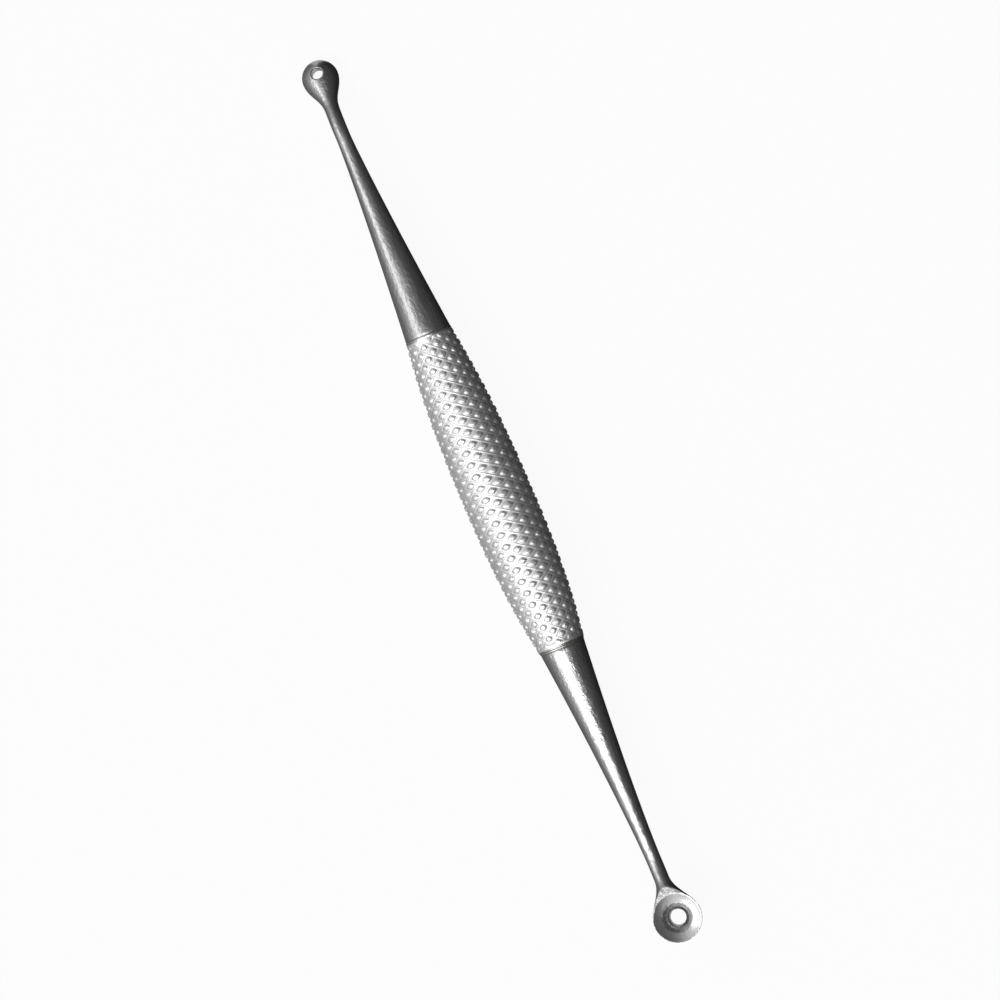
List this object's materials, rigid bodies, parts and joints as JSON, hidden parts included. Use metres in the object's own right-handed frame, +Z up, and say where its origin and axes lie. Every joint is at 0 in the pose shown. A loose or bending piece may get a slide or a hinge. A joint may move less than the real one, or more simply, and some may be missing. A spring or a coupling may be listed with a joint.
{
  "type": "blackhead extractor",
  "caption": "Double-ended blackhead extractor: a knurled steel barrel grip with tapered shanks that end in a small and a large pierced spoon.",
  "frame": {"origin": "middle of the tool's length and width, on the surface that it lies on", "axes": "+X along the tool towards the large spoon, +Y across it, +Z up, out of the large dish"},
  "size_m": [0.14, 0.0104, 0.0104],
  "materials": {
    "knurled_steel": "polished",
    "polished_steel": "polished",
    "braze": "polished"
  },
  "bodies": {
    "root": {"grip_sleeve": "knurled_steel", "small_end_braze_ring": "braze", "large_end_braze_ring": "braze", "small_shank": "polished_steel", "large_shank": "polished_steel", "small_spoon": "polished_steel", "large_spoon": "polished_steel"}
  },
  "joints": []
}
